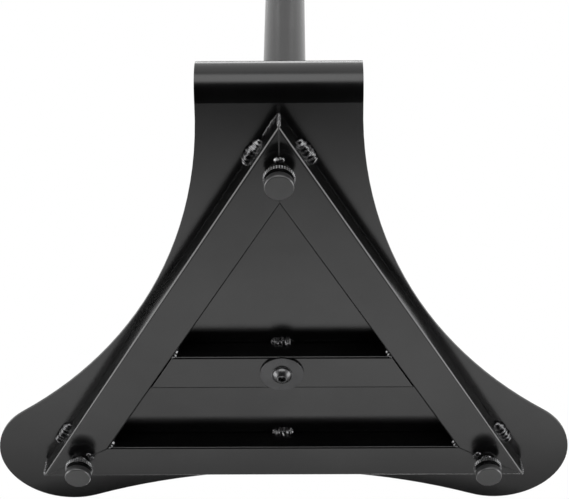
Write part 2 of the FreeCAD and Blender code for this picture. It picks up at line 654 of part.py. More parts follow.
def mast():
    """Inner tube with an end plug that carries a split guide ring, and the hub on its upper end."""
    axis = ("0", "column_y")
    turned("inner_tube", ring("inner_bore", "inner_radius", "0", "inner_length"), axis + ("inner_bottom",))
    flange = "inner_radius - end_flange_inset"
    neck = "ring_bore - run"
    shoulder = "(end_flange + ring_seat)"
    spigot = "inner_bore - fit"
    turned("inner_end_plug", [
        ("0", "0"), (flange, "0"), (flange, "end_flange"), (neck, "end_flange"), (neck, shoulder),
        (spigot, shoulder), (spigot, f"{shoulder} + end_spigot"), ("0", f"{shoulder} + end_spigot"),
    ], axis + (f"inner_bottom - {shoulder}",))
    guide = turned("guide_ring", ring("ring_bore", "column_bore - run", "0", "ring_height"),
                   axis + ("inner_bottom - ring_play - ring_height",))
    slit = sketch_on(guide, "XY_Plane")
    polygon(slit, [("0", "-ring_slit / 2"), ("column_diameter", "-ring_slit / 2"),
                   ("column_diameter", "ring_slit / 2"), ("0", "ring_slit / 2")])
    pocket(guide, slit, both=True)
    hub = turned("platform_hub", [
        ("0", "0"), (spigot, "0"), (spigot, "hub_spigot"), ("hub_diameter / 2", "hub_spigot"),
        ("hub_diameter / 2", "hub_spigot + hub_thickness"), ("0", "hub_spigot + hub_thickness"),
    ], axis + ("hub_bottom - hub_spigot",))
    thread = sketch_on(hub, "XY_Plane")
    circle(thread, ("screw_offset", "screw_offset"), "screw_diameter + 2 * fit")
    around(hub, pocket(hub, thread, both=True), "4")


def platform():
    """Platform plate with rounded corners, countersunk screws into the hub, and four rubber strips."""
    body = new_body("platform_plate")
    outline = sketch_on(body, "XY_Plane")
    wide, deep = "platform_width / 2", "platform_depth / 2"
    polygon(outline, [(wide, deep), (f"-{wide}", deep), (f"-{wide}", f"-{deep}"), (wide, f"-{deep}")])
    slab = pad(body, outline, "platform_thickness")
    fillet(body, slab, edges_along(slab.Shape, Vector(0, 0, 1)), "platform_corner")
    holes = sketch_on(body, "XY_Plane")
    bind(holes, "AttachmentOffset.Base.z", "platform_thickness")
    for x in ("screw_offset", "-screw_offset"):
        for y in ("screw_offset", "-screw_offset"):
            circle(holes, (x, y), "screw_diameter + 2 * fit")
    doc.recompute()
    before = body.Shape.Volume
    drilled = body.newObject("PartDesign::Hole", "platform_holes")
    drilled.Profile = holes
    drilled.DepthType = "ThroughAll"
    bind(drilled, "Diameter", "screw_diameter + 2 * fit")
    drilled.HoleCutType = "Countersink"
    drilled.HoleCutCustomValues = True
    drilled.HoleCutCountersinkAngle = 90.0
    bind(drilled, "HoleCutDiameter", "screw_head + 2 * fit")
    if solid_volume(body) >= before:
        raise RuntimeError("platform_plate: the holes cut nothing")
    place(body, ("0", "column_y", "platform_bottom"))

    shank = "screw_diameter / 2"
    head = "screw_head / 2"
    cone = f"(screw_length - {head} + {shank})"
    screw = doc.addObject("PartDesign::Body", "platform_screw")
    revolve(screw, [("0", "0"), (shank, "0"), (shank, cone), (head, "screw_length"), ("0", "screw_length")])
    socket = sketch_on(screw, "XY_Plane")
    hexagon(socket, "screw_socket")
    bind(socket, "AttachmentOffset.Base.z", "screw_length")
    pocket(screw, socket, depth="screw_socket_depth")
    place(screw, ("screw_offset", "screw_offset", "platform_top - screw_length"))
    doc.recompute()
    links = [screw]
    for name, normal in (("across", Vector(1, 0, 0)), ("along", Vector(0, 1, 0))):
        for source in list(links):
            copy = doc.addObject("Part::Mirroring", "platform_screw_" + name)
            copy.Source = source
            copy.Normal = normal
            links.append(copy)
    group = doc.addObject("Part::Compound", "platform_screws")
    group.Links = links
    bind(group, "Placement.Base.y", "column_y")
    nodes.append(group)

    corners = [(x, y) for y in (-1, 1) for x in (-1, 1)]
    for number, (x, y) in enumerate(corners, start=1):
        strip = new_body(f"platform_strip_{number}")
        outline = sketch_on(strip, "XY_Plane")
        long, across = "strip_length / 2", "strip_width / 2"
        polygon(outline, [(long, across), (f"-{long}", across),
                          (f"-{long}", f"-{across}"), (long, f"-{across}")])
        block = pad(strip, outline, "strip_thickness")
        fillet(strip, block, edges_along(block.Shape, Vector(0, 0, 1)), "strip_corner")
        place(strip, (f"{x} * (platform_width / 2 - strip_inset - strip_length / 2)",
                      f"column_y + {y} * (platform_depth / 2 - strip_inset - strip_width / 2)", "platform_top"))


def write_parts():
    """Check the whole document, then write each sub-part to its own file."""
    doc.recompute()
    for item in doc.Objects:
        if "Invalid" in item.State or "Error" in item.State:
            raise RuntimeError(f"{item.Label}: {item.State}")
    for piece in nodes:
        if piece.Shape.isNull() or not piece.Shape.isValid() or not piece.Shape.Solids:
            raise RuntimeError(f"{piece.Label}: no valid solid")
    os.makedirs("parts", exist_ok=True)
    for piece in nodes:
        piece.Shape.exportStep(f"parts/{piece.Label}.step")
        print(piece.Label, len(piece.Shape.Solids), round(piece.Shape.Volume, 1))


fill_sheet()
base_plate()
frame_bars()
cross_bar()
weld_beads()
feet()
column_foot()
column()
collar()
clamp()
set_screws()
mast()
platform()
write_parts()
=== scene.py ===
"""Looks of a studio monitor stand: finishes, weld beads, fasteners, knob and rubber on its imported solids.

Metres, +Z up, in the frame of the solids. The rolled end of the base points to +Y, and the photograph's
camera looks up at the underside of the base from behind that end.
"""
import logging
import math
from dataclasses import dataclass
from enum import Enum
from functools import cached_property
from typing import Iterable, Optional, Sequence

import bmesh
import bpy
from mathutils import Matrix, Vector, noise


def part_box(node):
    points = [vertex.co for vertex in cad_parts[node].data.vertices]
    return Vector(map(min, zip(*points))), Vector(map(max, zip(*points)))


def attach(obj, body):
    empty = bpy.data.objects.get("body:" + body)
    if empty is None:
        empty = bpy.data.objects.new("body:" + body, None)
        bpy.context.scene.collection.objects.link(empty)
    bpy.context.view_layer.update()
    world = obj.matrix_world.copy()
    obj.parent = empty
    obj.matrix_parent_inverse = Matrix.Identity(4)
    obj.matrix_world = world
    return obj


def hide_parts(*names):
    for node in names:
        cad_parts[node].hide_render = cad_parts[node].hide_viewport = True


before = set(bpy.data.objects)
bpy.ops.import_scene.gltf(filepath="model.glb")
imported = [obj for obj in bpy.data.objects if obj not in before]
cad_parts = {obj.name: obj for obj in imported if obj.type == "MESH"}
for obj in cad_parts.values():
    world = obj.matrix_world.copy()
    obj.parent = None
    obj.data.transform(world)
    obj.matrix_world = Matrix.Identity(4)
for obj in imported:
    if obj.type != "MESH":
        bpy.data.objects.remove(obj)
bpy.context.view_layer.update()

log = logging.getLogger("monitor_stand")

Colour = tuple[float, float, float]
Point = tuple[float, float, float]
Outline = Sequence[tuple[float, float]]
Socket = str | int
Shape = bmesh.types.BMesh
MM = 0.001
FULL_TURN = 2 * math.pi
SIXTH_TURN = math.pi / 3
JOIN_DISTANCE = 1e-7
WELD_SMOOTH = 60.0
UP = Vector((0.0, 0.0, 1.0))
DOWN = Vector((0.0, 0.0, -1.0))
BACKWARD = Vector((0.0, 1.0, 0.0))
TO_BACK = Matrix.Rotation(-math.pi / 2, 4, "X")


class Foot(Enum):
    """The three corners of the frame, by the angle at which each stands round its centre."""

    BACK = 90.0
    LEFT = 210.0
    RIGHT = 330.0

    @property
    def node(self) -> str:
        """Return the ending of this foot's node and body names."""
        return self.name.lower()

    @property
    def outward(self) -> Vector:
        """Return the direction from the frame's centre to this corner."""
        return Vector((math.cos(math.radians(self.value)), math.sin(math.radians(self.value)), 0.0))


class SideBar(Enum):
    """The two side bars of the frame, by their turn from the front bar."""

    RIGHT = 120.0
    LEFT = 240.0

    @property
    def outward(self) -> Vector:
        """Return the normal of the bar's outer wall."""
        return Vector((math.sin(math.radians(self.value)), -math.cos(math.radians(self.value)), 0.0))


class Pattern(Enum):
    """How the fine relief of a finish runs over the surface, by the share of coarse waves in it."""

    PEEL = 0.35
    MOULDED = 0.15
    TURNED = 0.0


class Wiring:
    """Adds nodes to one node tree, finds them and links them."""

    def __init__(self, tree: bpy.types.NodeTree) -> None:
        """Work on a tree."""
        self.tree = tree

    def add(self, kind: str, inputs: Optional[dict[Socket, object]] = None,
            **settings: object) -> bpy.types.Node:
        """Add a node, then set its properties and its inputs.

        Args:
            kind: The node's type name.
            inputs: Values of inputs, by name or number.
            **settings: Properties of the node.

        Returns:
            The new node.
        """
        node = self.tree.nodes.new(kind)
        for label, value in settings.items():
            setattr(node, label, value)
        for label, value in (inputs or {}).items():
            node.inputs[label].default_value = value
        return node

    def find(self, kind: str) -> bpy.types.Node:
        """Return the tree's first node of a type."""
        return next(node for node in self.tree.nodes if node.bl_idname == kind)

    def join(self, *links: tuple[bpy.types.Node, Socket, bpy.types.Node, Socket]) -> None:
        """Link outputs to inputs.

        Args:
            *links: For each link a node and its output, then a node and its input.
        """
        for source, output, target, entry in links:
            self.tree.links.new(source.outputs[output], target.inputs[entry])


class Effects:
    """Node groups that several finishes share, each built once."""

    @staticmethod
    def _start(name: str, inputs: dict[str, float],
               outputs: dict[str, str]) -> tuple[Wiring, bpy.types.Node, bpy.types.Node]:
        """Make an empty group with its sockets.

        Args:
            name: The group's name.
            inputs: Input socket names with their default values.
            outputs: Output socket names with their socket types.

        Returns:
            The group's wiring, and its input and output nodes.
        """
        group = bpy.data.node_groups.new(name, "ShaderNodeTree")
        for label, value in inputs.items():
            socket = group.interface.new_socket(label, in_out="INPUT", socket_type="NodeSocketFloat")
            socket.default_value = value
        for label, kind in outputs.items():
            group.interface.new_socket(label, in_out="OUTPUT", socket_type=kind)
        wire = Wiring(group)
        return wire, wire.add("NodeGroupInput"), wire.add("NodeGroupOutput")

    @cached_property
    def rounded_edge(self) -> bpy.types.ShaderNodeTree:
        """Build the group that rounds sharp edges and masks them for a lighter colour: coat rubbed thin in
        patches, and painted edge highlight.

        Returns:
            The group.
        """
        wire, given, result = self._start("rounded_edge", {"Radius": 0.0006, "Patch Scale": 160.0},
                                          {"Normal": "NodeSocketVector", "Mask": "NodeSocketFloat"})
        bevel = wire.add("ShaderNodeBevel", samples=6)
        geometry = wire.add("ShaderNodeNewGeometry")
        alike = wire.add("ShaderNodeVectorMath", operation="DOT_PRODUCT")
        # The mask picks out rounded edges in patches; the lighter colour there is part rubbed coat, part
        # painted edge highlight.
        turn = wire.add("ShaderNodeMapRange", {"From Min": 0.995, "From Max": 0.80},
                        interpolation_type="SMOOTHSTEP")
        place = wire.add("ShaderNodeTexCoord")
        patch = wire.add("ShaderNodeTexNoise", {"Detail": 3.0})
        spots = wire.add("ShaderNodeMapRange", {"From Min": 0.35, "From Max": 0.65})
        both = wire.add("ShaderNodeMath", operation="MULTIPLY")
        wire.join((given, "Radius", bevel, "Radius"),
                  (bevel, "Normal", alike, 0),
                  (geometry, "Normal", alike, 1),
                  (alike, "Value", turn, "Value"),
                  (place, "Object", patch, "Vector"),
                  (given, "Patch Scale", patch, "Scale"),
                  (patch, "Fac", spots, "Value"),
                  (turn, "Result", both, 0),
                  (spots, "Result", both, 1),
                  (bevel, "Normal", result, "Normal"),
                  (both, "Value", result, "Mask"))
        return wire.tree

    @cached_property
    def peel(self) -> bpy.types.ShaderNodeTree:
        """Build the group for the fine orange peel of sprayed and moulded surfaces.

        Returns:
            The group.
        """
        wire, given, result = self._start("peel", {"Scale": 900.0, "Coarse Scale": 90.0, "Coarse Share": 0.3},
                                          {"Height": "NodeSocketFloat"})
        place = wire.add("ShaderNodeTexCoord")
        fine = wire.add("ShaderNodeTexNoise", {"Detail": 2.0})
        coarse = wire.add("ShaderNodeTexNoise", {"Detail": 1.0})
        share = wire.add("ShaderNodeMix", data_type="FLOAT")
        wire.join((place, "Object", fine, "Vector"),
                  (place, "Object", coarse, "Vector"),
                  (given, "Scale", fine, "Scale"),
                  (given, "Coarse Scale", coarse, "Scale"),
                  (given, "Coarse Share", share, "Factor"),
                  (fine, "Fac", share, "A"),
                  (coarse, "Fac", share, "B"),
                  (share, "Result", result, "Height"))
        return wire.tree

    @cached_property
    def mottle(self) -> bpy.types.ShaderNodeTree:
        """Build the group for slow changes of gloss and tone over a surface.

        Returns:
            The group.
        """
        wire, given, result = self._start("mottle", {"Scale": 14.0, "Low": 0.3, "High": 0.4},
                                          {"Value": "NodeSocketFloat"})
        place = wire.add("ShaderNodeTexCoord")
        cloud = wire.add("ShaderNodeTexNoise", {"Detail": 5.0, "Roughness": 0.6})
        spread = wire.add("ShaderNodeMapRange", {"From Min": 0.3, "From Max": 0.7})
        wire.join((place, "Object", cloud, "Vector"),
                  (given, "Scale", cloud, "Scale"),
                  (cloud, "Fac", spread, "Value"),
                  (given, "Low", spread, "To Min"),
                  (given, "High", spread, "To Max"),
                  (spread, "Result", result, "Value"))
        return wire.tree


@dataclass(frozen=True)
class Finish:
    """A surface finish: colour, gloss, fine relief, and edges lighter as rubbed coat and painted highlight.
    """

    name: str
    colour: Colour
    edge_colour: Colour
    gloss_low: float
    gloss_high: float
    metallic: float = 0.0
    specular: float = 0.5
    pattern: Pattern = Pattern.PEEL
    relief_scale: float = 900.0
    relief_depth: float = 0.00002
    relief_strength: float = 0.3
    coarse_ratio: float = 9.0
    edge_radius: float = 0.0006
    mottle_scale: float = 14.0
    tone_ratio: float = 2.3
    tone_spread: float = 0.25
    turning_axis: Point = (0.0, 0.0, 0.0)

    def make(self, effects: Effects) -> bpy.types.Material:
        """Wire the finish as a material.

        Args:
            effects: The shared node groups.

        Returns:
            The material.
        """
        material = bpy.data.materials.new(self.name)
        material.use_nodes = True
        wire = Wiring(material.node_tree)
        shader = wire.find("ShaderNodeBsdfPrincipled")
        shader.inputs["Metallic"].default_value = self.metallic
        shader.inputs["Specular IOR Level"].default_value = self.specular
        edge = wire.add("ShaderNodeGroup", {"Radius": self.edge_radius}, node_tree=effects.rounded_edge)
        gloss_values = {"Scale": self.mottle_scale, "Low": self.gloss_low, "High": self.gloss_high}
        gloss = wire.add("ShaderNodeGroup", gloss_values, node_tree=effects.mottle)
        tone_values = {"Scale": self.mottle_scale * self.tone_ratio, "Low": 1 - self.tone_spread,
                       "High": 1 + self.tone_spread}
        tone = wire.add("ShaderNodeGroup", tone_values, node_tree=effects.mottle)
        shade = wire.add("ShaderNodeVectorMath", {0: self.colour}, operation="SCALE")
        # Lighter colour on the edges: coat rubbed thin, and painted edge highlight.
        edge_wear_and_highlight_mix = wire.add("ShaderNodeMix", {"B": (*self.edge_colour, 1.0)}, data_type="RGBA")
        bump = wire.add("ShaderNodeBump", {"Strength": self.relief_strength, "Distance": self.relief_depth})
        relief, height = self._relief(wire, effects)
        wire.join((tone, "Value", shade, "Scale"),
                  (shade, "Vector", edge_wear_and_highlight_mix, "A"),
                  (edge, "Mask", edge_wear_and_highlight_mix, "Factor"),
                  (edge_wear_and_highlight_mix, "Result", shader, "Base Color"),
                  (gloss, "Value", shader, "Roughness"),
                  (edge, "Normal", bump, "Normal"),
                  (relief, height, bump, "Height"),
                  (bump, "Normal", shader, "Normal"))
        return material

    def _relief(self, wire: Wiring, effects: Effects) -> tuple[bpy.types.Node, str]:
        """Wire the fine relief.

        Args:
            wire: The material's wiring.
            effects: The shared node groups.

        Returns:
            The last node of the relief, and the name of its output with the height.
        """
        if self.pattern is Pattern.TURNED:
            place = wire.add("ShaderNodeTexCoord")
            away = tuple(-value for value in self.turning_axis)
            centre = wire.add("ShaderNodeMapping", {"Location": away})
            ring_values = {"Scale": self.relief_scale, "Distortion": 1.2, "Detail": 2.0}
            rings = wire.add("ShaderNodeTexWave", ring_values, wave_type="RINGS", rings_direction="Z")
            wire.join((place, "Object", centre, "Vector"),
                      (centre, "Vector", rings, "Vector"))
            return rings, "Fac"
        peel_values = {"Scale": self.relief_scale, "Coarse Scale": self.relief_scale / self.coarse_ratio,
                       "Coarse Share": self.pattern.value}
        return wire.add("ShaderNodeGroup", peel_values, node_tree=effects.peel), "Height"


@dataclass
class Camera:
    """The photograph's view: where it stands, how it is turned and how long its lens is."""

    place: Point = (-0.010516, 0.631993, -0.693067)
    tilt: float = 38.31
    yaw: float = 0.377
    roll: float = -0.096
    swing: float = 0.183
    focal_pixels: float = 1376.41
    image_width: float = 569.0
    sensor: float = 36.0
    nearest: float = 0.01
    farthest: float = 50.0

    def build(self) -> bpy.types.Object:
        """Make the camera and give it to the scene.

        Returns:
            The camera object.
        """
        tilt, yaw, roll = (math.radians(angle) for angle in (self.tilt, self.yaw, self.roll))
        right = Vector((-1.0, 0.0, 0.0))
        up = Vector((0.0, math.cos(tilt), math.sin(tilt)))
        ahead = Vector((0.0, -math.sin(tilt), math.cos(tilt)))
        swung = right * math.cos(yaw) + ahead * math.sin(yaw)
        ahead = ahead * math.cos(yaw) - right * math.sin(yaw)
        right = swung * math.cos(roll) + up * math.sin(roll)
        up = up * math.cos(roll) - swung * math.sin(roll)
        data = bpy.data.cameras.new("photo_camera")
        data.sensor_width = self.sensor
        data.lens = self.sensor * self.focal_pixels / self.image_width
        data.clip_start = self.nearest
        data.clip_end = self.farthest
        camera = bpy.data.objects.new("photo_camera", data)
        turn = Matrix((right, up, -ahead)).transposed().to_4x4()
        swing = Matrix.Rotation(math.radians(self.swing), 4, "Z")
        camera.matrix_world = Matrix.Translation(Vector(self.place)) @ swing @ turn
        bpy.context.scene.collection.objects.link(camera)
        bpy.context.scene.camera = camera
        return camera


@dataclass(frozen=True)
class Softbox:
    """One rectangular studio lamp."""

    name: str
    place: Point
    aim: Point
    width: float
    height: float
    watts: float

    def build(self) -> bpy.types.Object:
        """Make the lamp and point it.

        Returns:
            The lamp object.
        """
        data = bpy.data.lights.new(self.name, "AREA")
        data.shape = "RECTANGLE"
        data.size = self.width
        data.size_y = self.height
        data.energy = self.watts
        lamp = bpy.data.objects.new(self.name, data)
        lamp.location = self.place
        lamp.rotation_mode = "QUATERNION"
        lamp.rotation_quaternion = (Vector(self.aim) - Vector(self.place)).to_track_quat("-Z", "Y")
        lamp.visible_camera = False
        bpy.context.scene.collection.objects.link(lamp)
        return lamp


@dataclass
class Studio:
    """Plain pale floor, soft lamps, a white surround, and a dark card and flag that the base mirrors."""

    floor_reach: float = 6.0
    floor_drop: float = 0.0004
    floor_colour: Colour = (0.86, 0.86, 0.86)
    fade_start: float = 1.1
    fade_end: float = 2.6
    surround_level: float = 0.4
    dark_colour: Colour = (0.002, 0.002, 0.002)
    card_radius: float = 1.8
    card_half_width: float = 1.5
    card_start: float = -76.0
    card_end: float = 60.0
    card_steps: int = 48
    flag_radius: float = 1.2
    flag_place: Point = (0.02, -1.0895, 0.7959)
    flag_tilt: float = -47.1
    flag_top: float = -0.002
    flag_steps: int = 128
    lamps: tuple[Softbox, ...] = (
        Softbox("low_back_softbox", (0.0, 2.55, -0.5), (0.0, 0.15, 0.03), 2.8, 1.4, 25.0),
        Softbox("high_back_softbox", (0.0, 2.3, 1.95), (0.0, 0.1, 0.2), 2.8, 2.6, 5.9),
        Softbox("low_front_softbox", (0.0, -1.113, -1.272), (0.0, -0.04, 0.03), 2.4, 0.62, 7.5),
        Softbox("front_softbox", (-0.6, -2.8, 1.2), (0.0, 0.0, 0.4), 1.8, 1.8, 16.0),
        Softbox("left_softbox", (-2.4, -0.1, -0.35), (0.0, -0.1, 0.03), 1.6, 2.7, 44.0),
        Softbox("right_softbox", (2.4, -0.1, -0.35), (0.0, -0.1, 0.03), 1.6, 2.7, 44.0),
        Softbox("top_softbox", (0.0, -0.04, 3.3), (0.0, -0.04, 0.4), 2.0, 2.0, 30.0),
    )

    def build(self) -> None:
        """Make the stage, the lamps and the surround."""
        bpy.context.scene.view_settings.view_transform = "Standard"
        self._surround()
        self._floor()
        self._card()
        self._flag()
        for lamp in self.lamps:
            lamp.build()

    def _surround(self) -> None:
        """Make the world: white where it is seen or mirrored, dimmer as plain light."""
        world = bpy.data.worlds.new("studio")
        world.use_nodes = True
        world.cycles.sampling_method = "NONE"
        bpy.context.scene.world = world
        wire = Wiring(world.node_tree)
        background = wire.find("ShaderNodeBackground")
        background.inputs["Color"].default_value = (1.0, 1.0, 1.0, 1.0)
        path = wire.add("ShaderNodeLightPath")
        seen = wire.add("ShaderNodeMath", operation="MAXIMUM")
        mirrored = wire.add("ShaderNodeMath", operation="MAXIMUM")
        level = wire.add("ShaderNodeMapRange", {"To Min": self.surround_level, "To Max": 1.0})
        wire.join((path, "Is Camera Ray", seen, 0),
                  (path, "Is Transmission Ray", seen, 1),
                  (seen, "Value", mirrored, 0),
                  (path, "Is Glossy Ray", mirrored, 1),
                  (mirrored, "Value", level, "Value"),
                  (level, "Result", background, "Strength"))

    def _floor(self) -> None:
        """Make the floor: pale with the stand's shadow from above, and not there from below."""
        shape = bmesh.new()
        bmesh.ops.create_grid(shape, x_segments=1, y_segments=1, size=self.floor_reach)
        bmesh.ops.translate(shape, verts=shape.verts, vec=DOWN * self.floor_drop)
        floor = as_object(shape, "floor")
        material = bpy.data.materials.new("pale_floor")
        material.use_nodes = True
        wire = Wiring(material.node_tree)
        wire.tree.nodes.clear()
        result = wire.add("ShaderNodeOutputMaterial")
        paint = wire.add("ShaderNodeBsdfDiffuse", {"Color": (*self.floor_colour, 1.0)})
        clear = wire.add("ShaderNodeBsdfTransparent")
        mixed = wire.add("ShaderNodeMixShader")
        path = wire.add("ShaderNodeLightPath")
        geometry = wire.add("ShaderNodeNewGeometry")
        above = wire.add("ShaderNodeMath", operation="SUBTRACT", use_clamp=True)
        place = wire.add("ShaderNodeTexCoord")
        reach = wire.add("ShaderNodeVectorMath", operation="LENGTH")
        fade = wire.add("ShaderNodeMapRange", {"From Min": self.fade_end, "From Max": self.fade_start},
                        interpolation_type="SMOOTHSTEP")
        share = wire.add("ShaderNodeMath", operation="MULTIPLY")
        wire.join((path, "Is Camera Ray", above, 0),
                  (geometry, "Backfacing", above, 1),
                  (place, "Object", reach, 0),
                  (reach, "Value", fade, "Value"),
                  (above, "Value", share, 0),
                  (fade, "Result", share, 1),
                  (share, "Value", mixed, "Fac"),
                  (clear, "BSDF", mixed, 1),
                  (paint, "BSDF", mixed, 2),
                  (mixed, "Shader", result, "Surface"))
        floor.data.materials.append(material)

    def _card(self) -> None:
        """Make the curved dark card that the underside of the base mirrors."""
        shape = bmesh.new()
        start = math.radians(self.card_start)
        ends = [shape.verts.new((side * self.card_half_width, self.card_radius * math.sin(start),
                                 -self.card_radius * math.cos(start))) for side in (-1, 1)]
        edge = shape.edges.new(ends)
        bmesh.ops.spin(shape, geom=ends + [edge], cent=(0.0, 0.0, 0.0), axis=(1.0, 0.0, 0.0),
                       angle=math.radians(self.card_end) - start, steps=self.card_steps)
        self._darken(shape, "dark_card").visible_shadow = False

    def _flag(self) -> None:
        """Make the dark flag that the plate's front edge mirrors: the part of a disc below the floor."""
        shape = bmesh.new()
        bmesh.ops.create_circle(shape, cap_ends=True, segments=self.flag_steps, radius=self.flag_radius)
        turn = Matrix.Rotation(math.radians(self.flag_tilt), 4, "X")
        bmesh.ops.transform(shape, matrix=Matrix.Translation(self.flag_place) @ turn, verts=shape.verts)
        trim(shape, UP * self.flag_top, DOWN, close=False)
        self._darken(shape, "dark_flag")

    def _darken(self, shape: Shape, name: str) -> bpy.types.Object:
        """Make a shape a dark part of the stage that the camera doesn't see.

        Args:
            shape: The shape, in place.
            name: Its name.

        Returns:
            The object.
        """
        card = as_object(shape, name)
        material = bpy.data.materials.new(name)
        material.use_nodes = True
        shader = Wiring(material.node_tree).find("ShaderNodeBsdfPrincipled")
        shader.inputs["Base Color"].default_value = (*self.dark_colour, 1.0)
        shader.inputs["Specular IOR Level"].default_value = 0.0
        card.data.materials.append(material)
        card.visible_camera = False
        return card


def as_object(shape: Shape, name: str, smooth: Optional[float] = None) -> bpy.types.Object:
    """Turn a bmesh into an object of the scene.

    Args:
        shape: The bmesh, which is freed.
        name: The object's name.
        smooth: The largest angle in degrees that is shaded as smooth, or None for flat shading.

    Returns:
        The object, at the origin.
    """
    if smooth is not None:
        limit = math.radians(smooth)
        for face in shape.faces:
            face.smooth = True
        for edge in shape.edges:
            edge.smooth = len(edge.link_faces) == 2 and edge.calc_face_angle() < limit
    mesh = bpy.data.meshes.new(name)
    shape.to_mesh(mesh)
    shape.free()
    piece = bpy.data.objects.new(name, mesh)
    bpy.context.scene.collection.objects.link(piece)
    return piece


def lathe(outline: Outline, steps: int) -> Shape:
    """Turn an outline round the Z axis.

    Args:
        outline: Points of (radius, height), from the axis and back to it.
        steps: Faces round the axis.

    Returns:
        The closed shape.
    """
    shape = bmesh.new()
    points = [shape.verts.new((radius, 0.0, height)) for radius, height in outline]
    edges = [shape.edges.new(pair) for pair in zip(points, points[1:])]
    bmesh.ops.spin(shape, geom=points + edges, cent=(0.0, 0.0, 0.0), axis=UP, angle=FULL_TURN, steps=steps,
                   use_merge=True)
    bmesh.ops.remove_doubles(shape, verts=shape.verts, dist=JOIN_DISTANCE)
    bmesh.ops.recalc_face_normals(shape, faces=shape.faces)
    return shape


def soften(shape: Shape, width: float, segments: int = 2, sharper_than: float = 30.0) -> None:
    """Round the sharp edges of a shape.

    Args:
        shape: The shape to change.
        width: The width of the rounding.
        segments: Faces across the rounding.
        sharper_than: The smallest angle in degrees that counts as sharp.
    """
    limit = math.radians(sharper_than)
    sharp = [edge for edge in shape.edges if len(edge.link_faces) == 2 and edge.calc_face_angle() > limit]
    bmesh.ops.bevel(shape, geom=sharp, offset=width, offset_type="OFFSET", segments=segments, profile=0.5,
                    affect="EDGES", material=-1, clamp_overlap=True)


def trim(shape: Shape, point: Vector, normal: Vector, close: bool = True) -> None:
    """Cut away what lies behind a plane.

    Args:
        shape: The shape to change.
        point: A point of the plane.
        normal: The plane's normal, towards what stays.
        close: Whether the cut is closed with a face.
    """
    everything = shape.verts[:] + shape.edges[:] + shape.faces[:]
    bmesh.ops.bisect_plane(shape, geom=everything, dist=JOIN_DISTANCE, plane_co=point, plane_no=normal,
                           clear_inner=True)
    if close:
        rim = [edge for edge in shape.edges if edge.is_boundary]
        bmesh.ops.holes_fill(shape, edges=rim, sides=0)
        bmesh.ops.recalc_face_normals(shape, faces=shape.faces)


@dataclass(frozen=True)
class Thread:
    """A metric screw thread on a rod: root, two flanks and a crest, wound round the Z axis."""

    radius: float = 0.004
    depth: float = 0.0006
    pitch: float = 0.00125
    crest_start: float = 0.4
    crest_end: float = 0.55
    root_start: float = 0.95
    steps: int = 36

    def build(self, low: float, high: float) -> Shape:
        """Wind the thread between two heights.

        Args:
            low: Height of its lower end.
            high: Height of its upper end.

        Returns:
            The closed threaded rod.
        """
        turns = math.ceil((high - low) / self.pitch) + 2
        root = self.radius - self.depth
        flanks = ((root, 0.0), (self.radius, self.crest_start), (self.radius, self.crest_end),
                  (root, self.root_start), (root, 1.0))
        shape = bmesh.new()
        points = [shape.verts.new((reach, 0.0, low + (share - 1.0) * self.pitch)) for reach, share in flanks]
        edges = [shape.edges.new(pair) for pair in zip(points, points[1:])]
        bmesh.ops.spin(shape, geom=points + edges, cent=(0.0, 0.0, 0.0), axis=UP,
                       dvec=(0.0, 0.0, self.pitch / self.steps), angle=FULL_TURN * turns,
                       steps=self.steps * turns)
        bmesh.ops.remove_doubles(shape, verts=shape.verts, dist=JOIN_DISTANCE)
        trim(shape, UP * low, UP)
        trim(shape, UP * high, DOWN)
        return shape


@dataclass(frozen=True)
class Knurl:
    """Ribs round the rim of a wheel, each notched into short wedges one above the other."""

    count: int = 36
    depth: float = 0.0007
    rows: int = 2
    spaces_per_rib: int = 8
    raised_points: int = 3
    wedge_share: float = 0.55

    def build(self, radius: float, low: float, high: float) -> Shape:
        """Make the knurled wheel.

        Args:
            radius: Over the ribs.
            low: Height of the lower face.
            high: Height of the upper face.

        Returns:
            The closed wheel.
        """
        spaces = self.count * self.spaces_per_rib
        outward = radius / (radius - self.depth)
        row_height = (high - low) / self.rows
        shape = bmesh.new()
        bmesh.ops.create_circle(shape, cap_ends=True, segments=spaces, radius=radius - self.depth)
        bmesh.ops.translate(shape, verts=shape.verts, vec=UP * low)
        top = shape.faces[:]
        for share, scale in ((self.wedge_share, outward), (1 - self.wedge_share, 1 / outward)) * self.rows:
            grown = bmesh.ops.extrude_face_region(shape, geom=top)["geom"]
            ring = [item for item in grown if isinstance(item, bmesh.types.BMVert)]
            top = [item for item in grown if isinstance(item, bmesh.types.BMFace)]
            bmesh.ops.translate(shape, verts=ring, vec=UP * share * row_height)
            ribs = [vert for vert in ring if self._in_rib(vert.co, spaces)]
            bmesh.ops.scale(shape, verts=ribs, vec=(scale, scale, 1.0))
        bmesh.ops.recalc_face_normals(shape, faces=shape.faces)
        return shape

    def _in_rib(self, spot: Vector, spaces: int) -> bool:
        """Return whether a point of the rim belongs to a rib."""
        place = round(math.atan2(spot.y, spot.x) / FULL_TURN * spaces)
        return place % self.spaces_per_rib < self.raised_points


def gather(shapes: Iterable[Shape]) -> Shape:
    """Put several shapes into one, and free them.

    Args:
        shapes: The shapes.

    Returns:
        One shape that holds them all.
    """
    whole = bmesh.new()
    for shape in shapes:
        mesh = bpy.data.meshes.new("gathered")
        shape.to_mesh(mesh)
        shape.free()
        whole.from_mesh(mesh)
        bpy.data.meshes.remove(mesh)
    return whole


def axis_of(node: str) -> Vector:
    """Return the point on the floor under the middle of a solid."""
    low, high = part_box(node)
    return Vector(((low.x + high.x) / 2, (low.y + high.y) / 2, 0.0))


